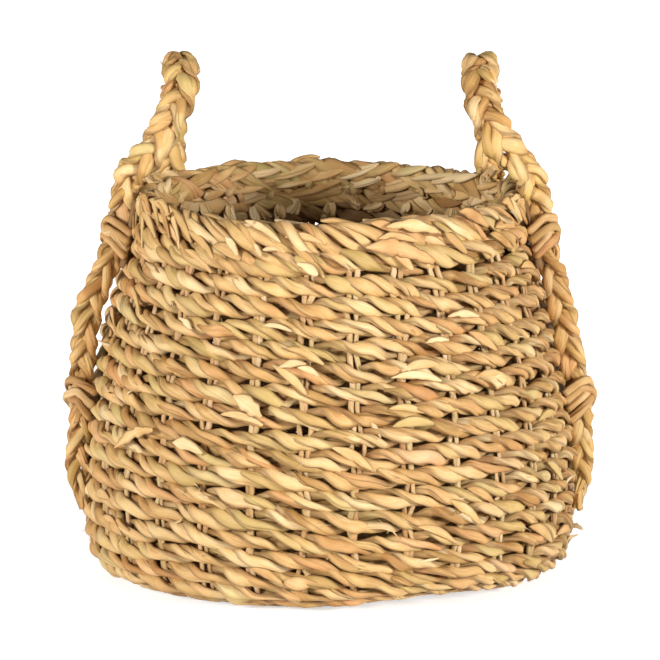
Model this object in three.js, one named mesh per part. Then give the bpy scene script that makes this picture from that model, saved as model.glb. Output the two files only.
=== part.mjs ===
// A round, pot-bellied basket twined from seagrass, with two plaited loop handles tied to its sides.
// Millimetres, +Z up. The origin is the middle of the base on the floor, and +Y is the back.
// Pairs of stakes fan out from the middle of the base and climb the wall. One long weft rope winds
// round them from foot to border, a woven lining closes them from within, and a thick rope ends the rim.

import * as THREE from "three";

// Body, measured over the rows
const bodyHeight = 283;
const bellyRadius = 178;
const bellyHeight = 85;
const footRadius = 140;
const mouthRadius = 137;

// Shares that bend the outline between foot, belly and mouth
const footRunShare = 0.9;
const bellyEaseShare = 0.17;
const shoulderEaseShare = 0.28;
const neckHeightShare = 0.615;
const neckRadiusShare = 0.39;

// Stakes, weft and lining
const stakeCount = 28;
const stakeWidth = 10;
const stakeThickness = 3;
const weftThickness = 5.5;
const rowHeight = 14.6;
const rowGap = 0.8;
const slantShare = 0.25;
const crestShares = [0.74, 0.26];
const dipShare = 0.4;
const rowGroove = 1.6;
const liningThickness = 5;
const seatGap = 0.4;
const tipHeight = 2.6;

// Base
const crossRadius = 48;
const knotRadius = 22;
const footTurn = 30;

// Border row and rim rope
const borderHeight = 17;
const borderThickness = 7;
const rimHeight = 18;
const rimThickness = 15;

// Handles: a flat three-strand plait, a loop above the rim and two legs down the wall
const plaitWidth = 19;
const legWidth = 16.5;
const plaitDepth = 13;
const plaitLift = 1.1;
const lumpPitch = 28;
const loopAzimuth = 16;
const loopHalfAngle = 22.5;
const loopRise = 78;
const loopTopSetIn = 29;
const loopSetBack = 37;
const jointRise = 5;
const jointSetOut = 11;
const jointGap = 0.6;
const wallGap = 0.6;
const upperTieDrop = 31;
const lowerTieRise = 47;
const tuckDrop = 31;
const bow = 7;
const bowShare = 0.48;
const tipShare = 0.55;

// The joints sit just over and outside the rim, and the ties keep their places under it and over the belly
const jointHeight = bodyHeight + jointRise;
const jointRadius = mouthRadius + jointSetOut;
const loopTopRadius = mouthRadius - loopTopSetIn;
const upperTieHeight = bodyHeight - upperTieDrop;
const lowerTieHeight = bellyHeight + lowerTieRise;
const bowHeight = lowerTieHeight + (upperTieHeight - lowerTieHeight) * bowShare;
const tuckHeight = bellyHeight - tuckDrop;

// Rings of the cup in a leg and of the round end in it, in degrees down from the joint
const cupTurns = [32, 52, 74];
const ballTurns = [30, 56, 78];

// Steps along one leg, one loop and one tie
const legSteps = 15;
const loopSteps = 24;
const tieSteps = 6;

// Ties that bind the legs to the wall
const tieHeight = 16;
const tieThickness = 2.6;
const tieGap = 0.7;

const fullTurn = 2 * Math.PI;
const degree = Math.PI / 180;
const searchStep = 0.005;
const stakeStep = fullTurn / stakeCount;
const crestStep = stakeStep / 2;

// The rows bend over a stake's middle, so its front stands back until its edges clear them
const frontGap = seatGap + (stakeWidth / 2) * Math.tan(stakeStep / 2);
const stakeFront = -(weftThickness + frontGap);
const stakeBack = stakeFront - stakeThickness;
const liningBack = stakeBack - seatGap;
const wallThickness = liningThickness - liningBack;

const straws = {
  weft: 0xc9a368,
  lining: 0xb08a50,
  stake: 0xdcc189,
  rim: 0xc49a5a,
  base: 0xb8925a,
  plait: 0xcda769,
  tie: 0xbd8d4e,
};

// Outline of the body from the middle of the base to the mouth, as radius and height
function makeOutline() {
  const rise = bodyHeight - bellyHeight;
  const swell = bellyRadius - footRadius;
  const neckIn = bellyRadius - mouthRadius;
  const middle = new THREE.Vector2(0, 0);
  const foot = new THREE.Vector2(footRadius, 0);
  const footPull = new THREE.Vector2(footRadius + swell * footRunShare, 0);
  const bellyPull = new THREE.Vector2(bellyRadius, bellyHeight * bellyEaseShare);
  const belly = new THREE.Vector2(bellyRadius, bellyHeight);
  const shoulderPull = new THREE.Vector2(bellyRadius, bellyHeight + rise * shoulderEaseShare);
  const neckPull = new THREE.Vector2(
    mouthRadius + neckIn * neckRadiusShare,
    bellyHeight + rise * neckHeightShare,
  );
  const mouth = new THREE.Vector2(mouthRadius, bodyHeight);
  const path = new THREE.CurvePath();
  path.add(new THREE.LineCurve(middle, foot));
  path.add(new THREE.CubicBezierCurve(foot, footPull, bellyPull, belly));
  path.add(new THREE.CubicBezierCurve(belly, shoulderPull, neckPull, mouth));
  return path;
}

const outline = makeOutline();
const outlineLength = outline.getLength();
const rimStart = outlineLength - rimHeight;
const borderStart = rimStart - borderHeight;
const weftStart = footRadius + footTurn;
const rowCount = Math.round((borderStart - weftStart) / rowHeight);
const rowPitch = (borderStart - weftStart) / rowCount;

// Radius and height at a run along the outline, lifted off it outwards
function outlinePoint(run, lift) {
  const share = Math.min(Math.max(run / outlineLength, 0), 1);
  const point = outline.getPoint(share);
  const tangent = outline.getTangent(share);
  return new THREE.Vector2(point.x + tangent.y * lift, point.y - tangent.x * lift);
}

// Run along the outline at which the wall reaches a height
function runAtHeight(height) {
  let low = footRadius;
  let high = outlineLength;
  while (high - low > searchStep) {
    const middle = (low + high) / 2;
    if (outlinePoint(middle, 0).y < height) low = middle;
    else high = middle;
  }
  return low;
}

// The crests of the rows run straight between corners on both sides of a stake, and are nearest half way
function facetRadius(radius, angle) {
  const turns = angle / crestStep;
  const offMiddle = (turns - Math.round(turns)) * crestStep;
  return (radius * Math.cos(crestStep / 2)) / Math.cos(offMiddle);
}

function around(radius, height, angle) {
  return new THREE.Vector3(radius * Math.cos(angle), radius * Math.sin(angle), height);
}

function stakeAngle(index) {
  return (index + 0.5) * stakeStep;
}

// Closed solid over a row of rings with the same number of points, with flat or pointed ends
function loft(rings) {
  const count = rings[0].length;
  const points = rings.flat();
  const positions = points.flatMap((point) => point.toArray());
  const faces = [];
  for (let ring = 0; ring + 1 < rings.length; ring++) {
    for (let side = 0; side < count; side++) {
      const next = (side + 1) % count;
      const near = ring * count;
      const far = near + count;
      addFace(faces, points, near + side, near + next, far + next);
      addFace(faces, points, near + side, far + next, far + side);
    }
  }
  const last = (rings.length - 1) * count;
  for (let side = 1; side + 1 < count; side++) {
    faces.push(0, side + 1, side);
    faces.push(last, last + side, last + side + 1);
  }
  if (signedVolume(points, faces) < 0) faces.reverse();
  const geometry = new THREE.BufferGeometry();
  geometry.setAttribute("position", new THREE.Float32BufferAttribute(positions, 3));
  geometry.setIndex(faces);
  geometry.computeVertexNormals();
  return geometry;
}

// A triangle between rings, unless two of its corners are one point that both rings share
function addFace(faces, points, first, second, third) {
  const [a, b, c] = [points[first], points[second], points[third]];
  if (a.equals(b) || b.equals(c) || c.equals(a)) return;
  faces.push(first, second, third);
}

// Positive when the faces point out of the solid
function signedVolume(points, faces) {
  const across = new THREE.Vector3();
  let volume = 0;
  for (let index = 0; index < faces.length; index += 3) {
    const [first, second, third] = faces.slice(index, index + 3).map((corner) => points[corner]);
    volume += first.dot(across.crossVectors(second, third)) / 6;
  }
  return volume;
}

// Profile of radius and height turned round the upright axis, with a corner at every stake
function revolve(profile) {
  const geometry = new THREE.LatheGeometry(profile, stakeCount, stakeStep / 2, fullTurn);
  geometry.rotateX(Math.PI / 2);
  return geometry;
}

function addPiece(group, name, geometry, colour) {
  const material = new THREE.MeshStandardMaterial({ color: colour, roughness: 0.85, metalness: 0 });
  const mesh = new THREE.Mesh(geometry, material);
  mesh.name = name;
  group.add(mesh);
}

// Weft: one rope that climbs a row each turn, thin where it starts and ends level. Two strands twine round
// the stakes in it: over each stake the front one slants down, and a groove parts it from the next
function rowEdges(step) {
  const middle = weftStart + (step / stakeCount - 0.5) * rowPitch;
  return {
    angle: Math.PI / 2 + stakeAngle(step),
    low: Math.max(middle - rowPitch / 2, weftStart) + rowGap / 2,
    high: Math.min(middle + rowPitch / 2, borderStart) - rowGap / 2,
  };
}

function rowPoint(edges, riseShare, proudShare) {
  const run = edges.low + (edges.high - edges.low) * riseShare;
  const place = outlinePoint(run, (proudShare - 1) * weftThickness);
  return around(place.x, place.y, edges.angle);
}

function weftRings() {
  const [upper, lower] = crestShares;
  const rings = [];
  const steps = (rowCount + 1) * stakeCount;
  for (let step = 0; step <= steps; step++) {
    const back = rowEdges(step);
    if (back.high - back.low < tipHeight) continue;
    const top = rowPoint(back, 1, 0);
    const bottom = rowPoint(back, 0, 0);
    const before = rowEdges(step - slantShare);
    const after = rowEdges(step + slantShare);
    rings.push([top, rowPoint(before, upper, 1), rowPoint(before, lower, dipShare), bottom]);
    rings.push([top, rowPoint(after, upper, dipShare), rowPoint(after, lower, 1), bottom]);
  }
  return rings;
}

// Least gap between one turn of the weft and the next, on its corner points
function leastTurnGap(rings) {
  const ringsInTurn = 2 * stakeCount;
  let least = Infinity;
  for (let index = 0; index + ringsInTurn < rings.length; index++) {
    for (const lower of rings[index]) {
      for (const upper of rings[index + ringsInTurn]) {
        least = Math.min(least, lower.distanceTo(upper));
      }
    }
  }
  return least;
}

function addWeft(group) {
  const rings = weftRings();
  console.log("least gap between turns of the weft: " + leastTurnGap(rings).toFixed(2) + " mm");
  addPiece(group, "weft_rope", loft(rings), straws.weft);
}

// Stakes: a flat pair of leaf cords each, from the cross in the base up into the rim
function stakeRuns() {
  const runs = [crossRadius];
  const bendSteps = 3;
  const bendLength = footTurn + rowPitch;
  for (let step = 0; step <= bendSteps; step++) runs.push(footRadius + (bendLength * step) / bendSteps);
  const wallSteps = 6;
  const wallStart = footRadius + bendLength;
  for (let step = 1; step <= wallSteps; step++) {
    runs.push(wallStart + ((rimStart - seatGap - wallStart) * step) / wallSteps);
  }
  return runs;
}

function stakeGeometry(angle) {
  const side = new THREE.Vector3(-Math.sin(angle), Math.cos(angle), 0).multiplyScalar(stakeWidth / 2);
  const rings = stakeRuns().map((run) => {
    const front = outlinePoint(run, stakeFront);
    const back = outlinePoint(run, stakeBack);
    const frontPoint = around(front.x, front.y, angle);
    const backPoint = around(back.x, back.y, angle);
    return [
      frontPoint.clone().sub(side),
      frontPoint.clone().add(side),
      backPoint.clone().add(side),
      backPoint.clone().sub(side),
    ];
  });
  return loft(rings);
}

function addStakes(group) {
  for (let index = 0; index < stakeCount; index++) {
    const name = "stake_pair_" + String(index + 1).padStart(2, "0");
    addPiece(group, name, stakeGeometry(stakeAngle(index)), straws.stake);
  }
}

// Lining: the inner half of the weave, one crest to a row, closed across the floor
function addLining(group) {
  const top = rimStart - seatGap;
  const profile = [outlinePoint(0, liningBack)];
  for (const run of stakeRuns()) profile.push(outlinePoint(run, liningBack));
  const wallRows = Math.round((top - footRadius) / rowHeight);
  const pitch = (top - footRadius) / wallRows;
  profile.push(outlinePoint(top, -wallThickness));
  for (let row = wallRows - 1; row >= 0; row--) {
    profile.push(outlinePoint(footRadius + (row + 0.5) * pitch, -wallThickness));
    profile.push(outlinePoint(footRadius + row * pitch, rowGroove - wallThickness));
  }
  profile.push(outlinePoint(0, rowGroove - wallThickness));
  addPiece(group, "inner_weave", revolve(profile), straws.lining);
}

// Base: the crossed middles of the stakes, and the rounds under them out to the turn of the foot
function addBase(group) {
  const crossEdge = crossRadius - seatGap;
  const cross = [
    outlinePoint(0, stakeFront),
    outlinePoint(crossEdge, stakeFront),
    outlinePoint(crossEdge, stakeBack),
    outlinePoint(0, stakeBack),
  ];
  addPiece(group, "base_cross", revolve(cross), straws.stake);

  const end = weftStart - rowGap / 2;
  const roundCount = Math.round((end - knotRadius) / rowHeight);
  const pitch = (end - knotRadius) / roundCount;
  const profile = [outlinePoint(0, 0), outlinePoint(knotRadius - rowGroove, 0)];
  for (let round = 0; round < roundCount; round++) {
    profile.push(outlinePoint(knotRadius + round * pitch, -rowGroove));
    profile.push(outlinePoint(knotRadius + (round + 0.5) * pitch, 0));
  }
  profile.push(outlinePoint(end, -rowGroove));
  for (const run of stakeRuns().filter((value) => value < end && value >= footRadius).reverse()) {
    profile.push(outlinePoint(run, -weftThickness));
  }
  profile.push(outlinePoint(0, -weftThickness));
  addPiece(group, "base_weave", revolve(profile), straws.base);
}

// Border row outside the stakes, and the rope that caps the wall
function addRim(group) {
  const low = borderStart + rowGap / 2;
  const high = rimStart - rowGap / 2;
  const back = -weftThickness;
  const front = borderThickness - weftThickness;
  const chamfer = borderThickness / 3;
  const border = [
    outlinePoint(low, back),
    outlinePoint(low, 0),
    outlinePoint(low + chamfer, front),
    outlinePoint(high - chamfer, front),
    outlinePoint(high, 0),
    outlinePoint(high, back),
    outlinePoint(low, back),
  ];
  addPiece(group, "border_row", revolve(border), straws.rim);

  const sides = 8;
  const centreRun = rimStart + rimHeight / 2;
  const profile = [];
  for (let side = 0; side <= sides; side++) {
    const turn = ((side + 0.5) * fullTurn) / sides;
    const lift = (Math.cos(turn) * rimThickness) / 2 - wallThickness / 2;
    profile.push(outlinePoint(centreRun, lift).add(rimRise(Math.sin(turn), sides)));
  }
  addPiece(group, "rim_rope", revolve(profile), straws.rim);
}

function rimRise(share, sides) {
  const reach = rimHeight / 2 / Math.cos(Math.PI / sides);
  const along = outline.getTangent(1);
  return new THREE.Vector2(along.x, along.y).multiplyScalar(share * reach);
}

// Ring of a plait, wide across the lean of the handle and shallow along the wall
function plaitRing(centre, tangent, acrossAngle, width, depth, lump) {
  const sides = 8;
  const outward = new THREE.Vector3(Math.cos(acrossAngle), Math.sin(acrossAngle), 0);
  const across = outward.addScaledVector(tangent, -outward.dot(tangent)).normalize();
  const along = new THREE.Vector3().crossVectors(tangent, across);
  const ring = [];
  for (let side = 0; side < sides; side++) {
    const turn = (side * fullTurn) / sides;
    const reach = (width / 2) * Math.cos(turn) + lump * Math.abs(Math.cos(turn));
    const point = centre.clone().addScaledVector(across, reach);
    ring.push(point.addScaledVector(along, (depth / 2) * Math.sin(turn)));
  }
  return ring;
}

// The strands come to each edge in turn, so the plait sways from side to side along its length
function lumpAt(run) {
  return plaitLift * Math.sin((fullTurn * run) / lumpPitch);
}

function jointPoint(angle) {
  return around(jointRadius, jointHeight, angle);
}

// The border row stands a little prouder than the rows below it
function borderProud(height) {
  const run = runAtHeight(height) + tieHeight / 2;
  return run > borderStart ? borderThickness - weftThickness : 0;
}

// A leg lies on the wall at its ties, bows away between them and tapers where it is tucked in
function legPoint(height, angle, lift) {
  const run = runAtHeight(height);
  const place = outlinePoint(run, 0);
  const slope = outline.getTangent(run / outlineLength);
  const reach = lift + borderProud(height);
  const radius = facetRadius(place.x, angle) + reach * slope.y;
  return around(radius, place.y - reach * slope.x, angle);
}

function legRings(footAngle) {
  const lift = legWidth / 2 + plaitLift + wallGap;
  const tipLift = (legWidth / 2) * tipShare + plaitLift + wallGap;
  const joint = jointPoint(footAngle);
  const cupRadius = plaitWidth / 2 + jointGap;
  const lipTurn = cupTurns[0] * degree;
  const lip = joint.clone().setZ(jointHeight - cupRadius * Math.sin(lipTurn));
  const route = new THREE.CatmullRomCurve3([
    legPoint(tuckHeight, footAngle, tipLift),
    legPoint(tuckHeight + lumpPitch, footAngle, lift),
    legPoint(lowerTieHeight, footAngle, lift),
    legPoint(bowHeight, footAngle, lift + bow),
    legPoint(upperTieHeight, footAngle, lift),
    lip,
  ]);
  const loopAngle = loopAzimuth * degree;
  const rings = [];
  for (let step = 0; step <= legSteps; step++) {
    const share = step / legSteps;
    const centre = route.getPointAt(share);
    const tangent = step === legSteps ? new THREE.Vector3(0, 0, 1) : route.getTangentAt(share);
    const taper = Math.min(1, tipShare + ((1 - tipShare) * (centre.z - tuckHeight)) / lumpPitch);
    const turnStart = upperTieHeight + tieHeight / 2;
    const turnShare = Math.max(0, (centre.z - turnStart) / (lip.z - turnStart));
    const across = footAngle + (loopAngle - footAngle) * turnShare;
    const lump = taper < 1 || turnShare > 0 ? 0 : lumpAt(share * route.getLength());
    const width = legWidth + (plaitWidth - legWidth) * turnShare;
    rings.push(plaitRing(centre, tangent, across, width * taper, plaitDepth * taper, lump));
  }
  const cupDepth = plaitDepth / 2 + jointGap;
  for (const turn of cupTurns.map((down) => down * degree)) {
    const centre = joint.clone().setZ(jointHeight - cupRadius * Math.sin(turn));
    const reach = 2 * Math.cos(turn);
    const up = new THREE.Vector3(0, 0, 1);
    rings.push(plaitRing(centre, up, loopAngle, cupRadius * reach, cupDepth * reach, 0));
  }
  return rings;
}

// The loop rises from its two joints, twists square to the basket and leans in over the mouth
function loopRoute(nearAngle, farAngle) {
  const near = jointPoint(nearAngle);
  const far = jointPoint(farAngle);
  const middle = near.clone().add(far).multiplyScalar(0.5);
  const half = far.clone().sub(near).multiplyScalar(0.5);
  const levelShares = [
    { rise: 0, span: 1, lean: 0, twist: 1 },
    { rise: 0.14, span: 1.01, lean: 0.07, twist: 0.72 },
    { rise: 0.36, span: 1, lean: 0.3, twist: 0.3 },
    { rise: 0.62, span: 0.86, lean: 0.55, twist: 0.08 },
    { rise: 0.86, span: 0.52, lean: 0.86, twist: 0 },
  ];
  const top = { rise: 1, span: 0, lean: 1, twist: 0 };
  const place = (level, side) => {
    const x = middle.x + (loopTopRadius - middle.x) * level.lean + side * half.x * level.twist;
    const y = middle.y + (loopSetBack - middle.y) * level.lean + side * half.y * level.span;
    return new THREE.Vector3(x, y, jointHeight + loopRise * level.rise);
  };
  const rising = levelShares.map((level) => place(level, -1));
  const falling = levelShares.map((level) => place(level, 1)).reverse();
  return new THREE.CatmullRomCurve3([...rising, place(top, 0), ...falling]);
}

function loopRings(nearAngle, farAngle) {
  const route = loopRoute(nearAngle, farAngle);
  const loopAngle = loopAzimuth * degree;
  const length = route.getLength();
  const rings = [];
  for (let step = 0; step <= loopSteps; step++) {
    const share = step / loopSteps;
    const centre = route.getPointAt(share);
    const rise = (centre.z - jointHeight) / loopRise;
    const across = loopAngle * Math.max(0, 1 - 2 * rise);
    const atEnd = step === 0 || step === loopSteps;
    const upright = new THREE.Vector3(0, 0, step === 0 ? 1 : -1);
    const tangent = atEnd ? upright : route.getTangentAt(share);
    const lump = atEnd ? 0 : lumpAt(share * length);
    rings.push(plaitRing(centre, tangent, across, plaitWidth, plaitDepth, lump));
  }
  return [...ballEnd(nearAngle, 1).reverse(), ...rings, ...ballEnd(farAngle, -1)];
}

// Round end that turns in the cup of the leg
function ballEnd(footAngle, upwards) {
  const tangent = new THREE.Vector3(0, 0, upwards);
  return ballTurns.map((down) => {
    const turn = down * degree;
    const centre = jointPoint(footAngle).setZ(jointHeight - (plaitWidth / 2) * Math.sin(turn));
    const reach = Math.cos(turn);
    return plaitRing(centre, tangent, loopAzimuth * degree, plaitWidth * reach, plaitDepth * reach, 0);
  });
}

// A tie passes round the leg and ends in the wall on both sides of it
function tieRings(height, footAngle) {
  const slope = outline.getTangent(runAtHeight(height) / outlineLength);
  const outward = around(slope.y, -slope.x, footAngle);
  const upward = around(slope.x, slope.y, footAngle);
  const sideways = new THREE.Vector3(-Math.sin(footAngle), Math.cos(footAngle), 0);
  const lift = legWidth / 2 + plaitLift + wallGap;
  const centre = legPoint(height, footAngle, lift);
  const innerWidth = legWidth / 2 + plaitLift + tieGap;
  const innerDepth = plaitDepth / 2 + tieGap;
  const outerWidth = innerWidth + tieThickness;
  const outerDepth = innerDepth + tieThickness;
  const rings = [];
  const place = (reach, spread, rise) => {
    const point = centre.clone().addScaledVector(outward, reach).addScaledVector(sideways, spread);
    return point.addScaledVector(upward, rise);
  };
  for (let step = 0; step <= tieSteps; step++) {
    const turn = (step / tieSteps - 0.5) * Math.PI;
    const inner = [innerWidth * Math.cos(turn), innerDepth * Math.sin(turn)];
    const outer = [outerWidth * Math.cos(turn), outerDepth * Math.sin(turn)];
    if (step === 0 || step === tieSteps) {
      const end = wallReach(height, footAngle, outer[1]) - lift;
      inner[0] = end;
      outer[0] = end;
    }
    rings.push([
      place(inner[0], inner[1], -tieHeight / 2),
      place(outer[0], outer[1], -tieHeight / 2),
      place(outer[0], outer[1], tieHeight / 2),
      place(inner[0], inner[1], tieHeight / 2),
    ]);
  }
  return rings;
}

// How far a tie's end stands off the outline at the foot of the leg, just clear of the wall beside it
function wallReach(height, footAngle, spread) {
  const radius = outlinePoint(runAtHeight(height), 0).x;
  const angle = Math.asin(Math.abs(spread) / radius);
  const sides = [footAngle - angle, footAngle + angle];
  const wall = Math.max(...sides.map((side) => facetRadius(radius, side) * Math.cos(angle)));
  return wall - facetRadius(radius, footAngle) + wallGap;
}

function addHandle(group, side, nearAngle, farAngle) {
  addPiece(group, "handle_loop_" + side, loft(loopRings(nearAngle, farAngle)), straws.plait);
  const feet = [
    { end: "front", angle: nearAngle },
    { end: "back", angle: farAngle },
  ];
  for (const foot of feet) {
    const label = "_" + side + "_" + foot.end;
    addPiece(group, "handle_leg" + label, loft(legRings(foot.angle)), straws.plait);
    addPiece(group, "upper_tie" + label, loft(tieRings(upperTieHeight, foot.angle)), straws.tie);
    addPiece(group, "lower_tie" + label, loft(tieRings(lowerTieHeight, foot.angle)), straws.tie);
  }
}

// The left handle is the right one mirrored across the middle of the basket
function addHandles(group) {
  const nearAngle = (loopAzimuth - loopHalfAngle) * degree;
  const farAngle = (loopAzimuth + loopHalfAngle) * degree;
  addHandle(group, "right", nearAngle, farAngle);
  const mirrored = new THREE.Group();
  mirrored.scale.x = -1;
  addHandle(mirrored, "left", nearAngle, farAngle);
  group.add(mirrored);
}

const basket = new THREE.Group();
addBase(basket);
addStakes(basket);
addWeft(basket);
addLining(basket);
addRim(basket);
addHandles(basket);

export default basket;
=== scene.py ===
# Looks of the twined basket: every leaf strand of the rows, the stakes, the rim, the plaited handles and
# their ties is a mesh of its own real shape, laid where the frame's solids are. Metres, +Z up, +Y the back.
import math
from collections import namedtuple

import bpy
import numpy as np
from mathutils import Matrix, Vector


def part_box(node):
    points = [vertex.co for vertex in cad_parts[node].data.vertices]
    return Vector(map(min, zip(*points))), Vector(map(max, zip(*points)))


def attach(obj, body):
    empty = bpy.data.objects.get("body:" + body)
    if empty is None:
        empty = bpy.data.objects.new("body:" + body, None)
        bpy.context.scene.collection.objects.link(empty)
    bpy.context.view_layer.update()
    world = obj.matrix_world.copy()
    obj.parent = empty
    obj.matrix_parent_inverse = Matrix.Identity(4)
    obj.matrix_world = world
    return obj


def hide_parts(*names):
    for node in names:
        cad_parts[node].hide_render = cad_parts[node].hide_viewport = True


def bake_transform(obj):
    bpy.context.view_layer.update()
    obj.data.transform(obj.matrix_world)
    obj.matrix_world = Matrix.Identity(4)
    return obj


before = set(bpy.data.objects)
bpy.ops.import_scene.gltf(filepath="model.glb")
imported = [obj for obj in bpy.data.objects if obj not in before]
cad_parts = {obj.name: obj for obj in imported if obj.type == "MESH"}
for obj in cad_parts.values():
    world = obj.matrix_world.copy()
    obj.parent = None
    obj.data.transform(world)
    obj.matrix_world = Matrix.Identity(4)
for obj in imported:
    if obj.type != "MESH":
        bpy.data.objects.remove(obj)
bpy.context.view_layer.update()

# Body, as in the frame
BODY_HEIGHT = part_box("rim_rope")[1].z
BELLY_RADIUS = 0.178
BELLY_HEIGHT = 0.085
FOOT_RADIUS = 0.140
MOUTH_RADIUS = 0.137
FOOT_RUN_SHARE = 0.90
BELLY_EASE_SHARE = 0.17
SHOULDER_EASE_SHARE = 0.28
NECK_HEIGHT_SHARE = 0.615
NECK_RADIUS_SHARE = 0.39
STAKES = 28
STAKE_STEP = 2 * math.pi / STAKES

# Rows: the wall's middle lies at a depth under the outline, and four leaves twine round it, two to a strand
WALL_DEPTH = 0.0074
FIRST_ROUND_RUN = 0.052
WALL_RUN = FOOT_RADIUS + 0.030
BORDER_DROP = 0.035
WALL_TURNS = 16
TURNS_IN_PIECE = 2
STAKE_BULGE = 0.0054
FREE_BULGE = 0.0046
STAKE_RISE = 0.0034
FREE_RISE = 0.0056
STAKE_SPREAD = 0.50
FREE_SPREAD = 0.72
ROW_DIVE = 0.30
ROW_STRAIGHT = 0.93
ROW_HASTE = 0.30
# Painted shade on the inner side of the rows and of the mouth's ropes: it lowers their tone and mixes in the
# painted shade colour
INNER_SHADE = 0.74
MOUTH_SHADE = 0.08
FOOT_LIFT = 0.006
FOOT_LIFT_TURN = math.radians(-60)
FOOT_EASE = 0.0028
LEAF_HALF = (0.0021, 0.0040)
BASE_RAISE = 0.0012
SAMPLE = 0.0021
SEAM_PLACE = STAKES / 4 - 0.5

# Ropes of the mouth: drop of the middle below the top of the wall, reach along and across the wall, twists in
# a round, half thickness and half width of a leaf, places of the leaves in a strand, depth of the middle
Ring = namedtuple("Ring", "drop rise bulge twists half spreads depth")
RIM_RING = Ring(0.0135, 0.0086, 0.0060, 11, (0.0021, 0.0037), (-1.0, 0.0, 1.0), 0.0076)
BORDER_RING = Ring(0.0300, 0.0062, 0.0056, 13, (0.0020, 0.0040), (-0.62, 0.62), WALL_DEPTH)
RIM_DIP = 0.0030
RIM_DIVE = 0.15
RIM_HASTE = 0.16
RIM_STRAIGHT = 0.50
TUFT_DEGREES = (117, 99, 83, 64, 46, 135, 200, 232, 290, 325, 5, 108, 91, 73, 55, 126)

# Stems of the stakes: where they leave the middle of the base, their lanes there, and where they end
STEM_START_RUN = 0.034
STEM_TOP = 0.262
LANE_PITCH = 0.0092

# Handles, as in the frame
PLAIT_CYCLE = 0.067
PLAIT_SWAY = 0.0073
PLAIT_DIVE = 0.0036
PLAIT_HALF = (0.0029, 0.0042)
PLAIT_LEAF_OFFSET = 0.0030
LOOP_AZIMUTH = math.radians(16)
LOOP_HALF_ANGLE = math.radians(22.5)
LOOP_RISE = 0.078
LOOP_TOP_RADIUS = 0.108
LOOP_SET_BACK = 0.037
JOINT_HEIGHT = 0.288
JOINT_RADIUS = 0.1465
BLEND_START = 0.276
UPPER_TIE = 0.246
LOWER_TIE = 0.130
TIE_SLANT = 0.6
TIE_WRAPS = 4
TIE_HALF = (0.0024, 0.0031)
TIE_SEED = 532
TUCK_HEIGHT = 0.050
LEG_LIFT = 0.0078
LOWER_LEG_LIFT = 0.0064
BOW_HEIGHT = 0.190
BOWS = {"left": 0.0070, "right": 0.0004}
BORDER_PROUD = 0.0012

# Points on one half of a loop from its foot up, as shares of its rise, span, lean and twist
LOOP_LEVELS = (
    (0.14, 1.01, 0.12, 0.72), (0.36, 1, 0.50, 0.30), (0.62, 0.86, 0.84, 0.08), (0.86, 0.52, 1.02, 0),
)
LOOP_TOP = (1, 0, 1, 0)

# Loose leaves on the outer side: right and above the middle of the base as seen from the front, then slope,
# length, half width, how proud they lie, curl and look
MARKS = [
    (-0.0580, 0.1195, -0.55, 0.026, 0.0058, 0.0024, 0.02, (0.70, 0.0, 0.26)),
    (-0.1370, 0.0960, 0.42, 0.046, 0.0042, 0.0040, 0.05, (0.50, 0.1, 0.10)),
    (-0.1000, 0.0900, -0.20, 0.026, 0.0046, 0.0024, 0.00, (0.76, 0.0, 0.18)),
    (0.0490, 0.2265, -0.26, 0.052, 0.0066, 0.0034, 0.00, (0.45, 0.0, 0.70)),
    (0.0570, 0.2445, -0.16, 0.040, 0.0046, 0.0050, 0.00, (0.62, 0.0, 0.10)),
    (-0.0260, 0.1480, 0.15, 0.020, 0.0026, 0.0036, 0.25, (0.70, 0.0, 0.15)),
    (-0.0150, 0.1440, -0.35, 0.016, 0.0026, 0.0034, 0.30, (0.74, 0.0, 0.10)),
    (0.0930, 0.1830, -0.10, 0.026, 0.0030, 0.0028, 0.05, (0.76, 0.0, 0.15)),
    (-0.0684, 0.2330, -0.80, 0.017, 0.0030, 0.0022, 0.10, (0.80, 0.0, 0.15)),
    (-0.0500, 0.2300, -0.95, 0.011, 0.0024, 0.0024, 0.15, (0.72, 0.0, 0.35)),
    (-0.0160, 0.2165, -0.50, 0.017, 0.0034, 0.0016, 0.12, (0.80, 0.0, 0.12)),
    (-0.0370, 0.1745, -0.15, 0.022, 0.0020, 0.0018, 0.08, (0.78, 0.0, 0.22)),
    (-0.1010, 0.1780, -0.45, 0.015, 0.0026, 0.0020, 0.12, (0.84, 0.0, 0.10)),
    (0.0750, 0.1655, 0.02, 0.018, 0.0022, 0.0018, 0.06, (0.88, 0.0, 0.05)),
    (0.0610, 0.1385, -0.12, 0.038, 0.0034, 0.0012, 0.00, (0.72, 0.0, 0.05)),
]

# Leaves deep in the gaps between rows, dark with painted shade: right, above and length, then what they share
GAPS = [(0.0580, 0.2145, 0.030), (0.0842, 0.0784, 0.026), (0.0547, 0.1382, 0.026), (0.0482, 0.1536, 0.024)]
GAP_LEAF = (0.0040, -0.0122, 0.0, (0.12, 0.0, 0.20))

# Camera: the photograph is nearly without perspective
CAMERA_DISTANCE = 9.0
CAMERA_ELEVATION = math.radians(10.1)
PIXEL = 0.00072
FRAME_SIDE = 660
AIM_PIXEL = 380
AIM_HEIGHT = 0.140

# Light: the lamps' names, places and power
LAMPS = (("key", (-1.8, -1.6, 0.68), 54), ("fill", (1.9, -1.5, 0.63), 63))
LAMP_AIM = (0, 0, 0.16)
LAMP_SIZE = 0.6
WORLD_LIGHT = 0.24
FLOOR_GLOW = 0.60
FLOOR_HALF_SIDE = 6.0

# Colours from 0 to 255 that all the leaves share: the painted shade in creases, at leaf edges and on shaded
# inner sides, and the tint of small specks
PAINTED_SHADE = (102, 66, 31)
SPECK = (205, 160, 118)


# Shapes of the wall


def bezier(a, b, c, d, count=200):
    t = np.linspace(0, 1, count)[:, None]
    a, b, c, d = (np.array(p, float) for p in (a, b, c, d))
    return a * (1 - t) ** 3 + 3 * b * t * (1 - t) ** 2 + 3 * c * t * t * (1 - t) + d * t**3


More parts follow.
